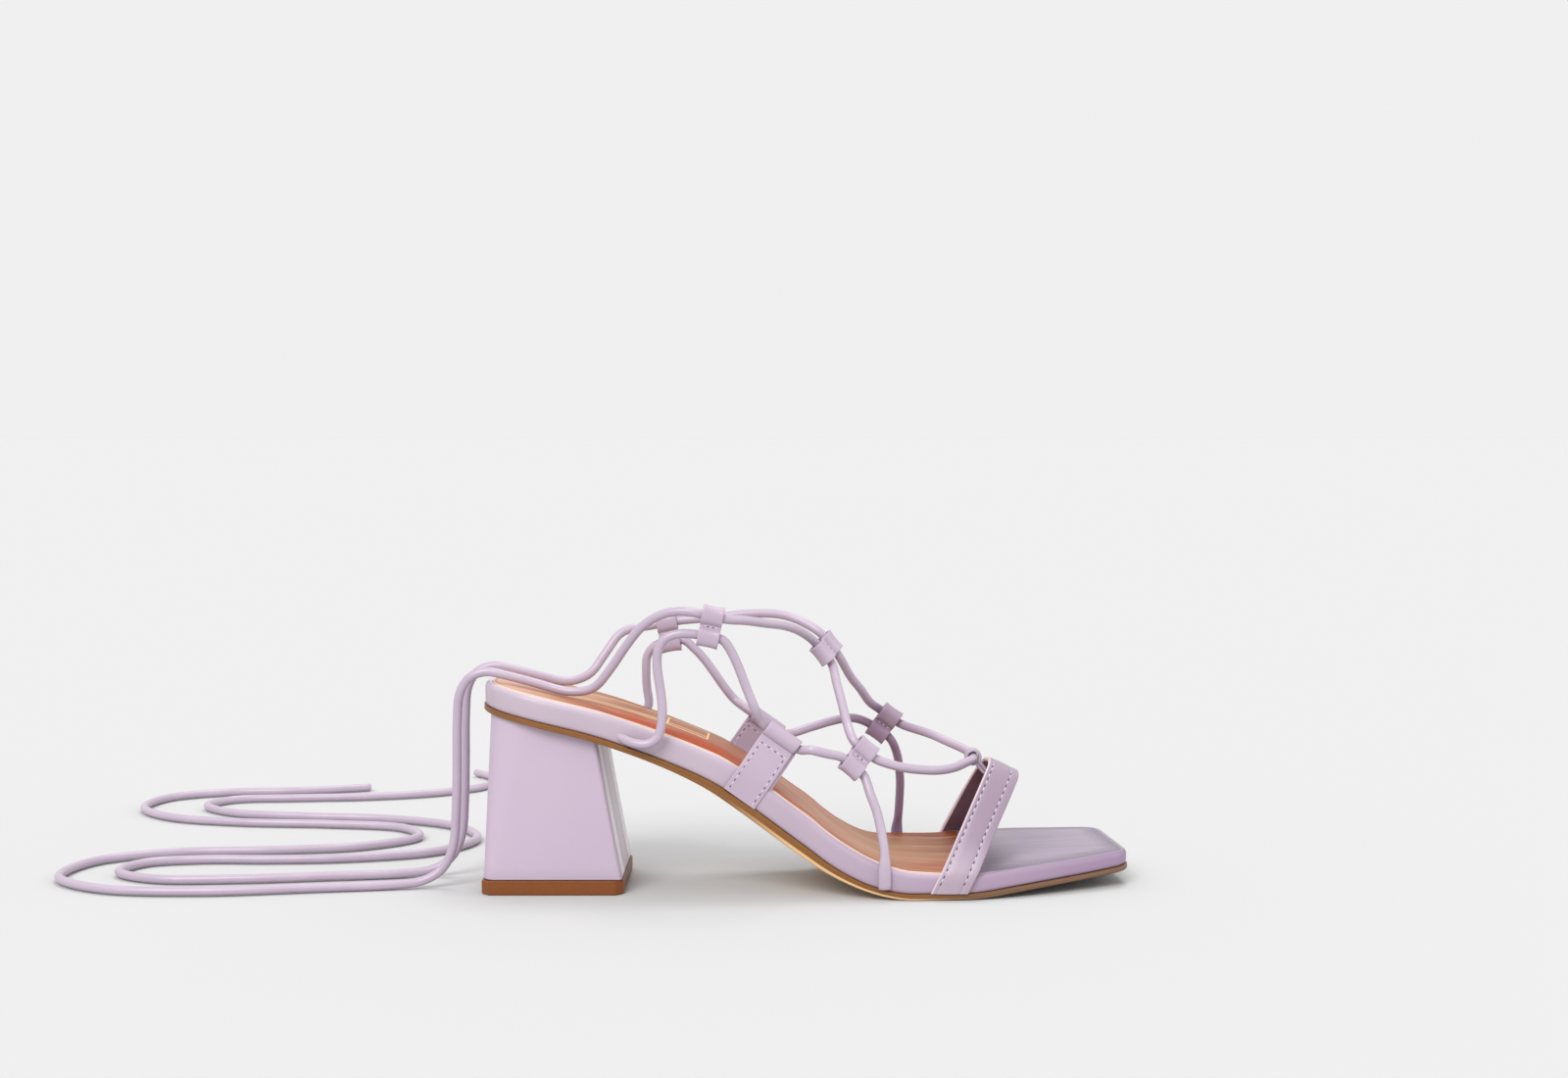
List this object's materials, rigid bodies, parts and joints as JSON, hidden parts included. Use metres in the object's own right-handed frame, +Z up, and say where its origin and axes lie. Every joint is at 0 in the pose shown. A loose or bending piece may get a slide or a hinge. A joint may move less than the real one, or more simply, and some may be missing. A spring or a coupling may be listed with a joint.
{
  "type": "lace up heeled sandal",
  "caption": "Open square-toed sandal on a flared block heel, with a toe strap and a net of round cords that laces up the instep and ends in long ties.",
  "frame": {"origin": "on the floor, under the middle of the shoe's own box (the two ties are left out of it)", "axes": "+X towards the toe, +Y towards the inner side of the right foot, +Z up from the floor that the sole rests on"},
  "size_m": [0.4039, 0.2607, 0.1038],
  "materials": {
    "lilac_wrap": "smooth coated synthetic leather, satin",
    "lilac_strap": "smooth coated synthetic leather, satin, stitched edges",
    "lilac_cord": "rolled coated synthetic leather, satin",
    "caramel_sock": "smooth synthetic leather, burnished, satin",
    "resin_edge": "moulded resin sole, satin, polished edge",
    "tip_rubber": "moulded top-piece rubber, satin"
  },
  "bodies": {
    "root": {"outsole": "resin_edge", "midsole": "lilac_wrap", "insole": "caramel_sock", "heel_block": "lilac_wrap", "heel_tip": "tip_rubber", "toe_strap": "lilac_strap", "toe_loop": "lilac_cord", "tab_lateral": "lilac_strap", "tab_medial": "lilac_strap", "ring_front": "lilac_strap", "ring_lateral": "lilac_strap", "ring_medial": "lilac_strap", "ankle_ring_lateral": "lilac_strap", "ankle_ring_medial": "lilac_strap", "lace": "lilac_cord", "side_cord_lateral": "lilac_cord", "side_cord_medial": "lilac_cord", "tie_lateral": "lilac_cord", "tie_medial": "lilac_cord"}
  },
  "joints": []
}
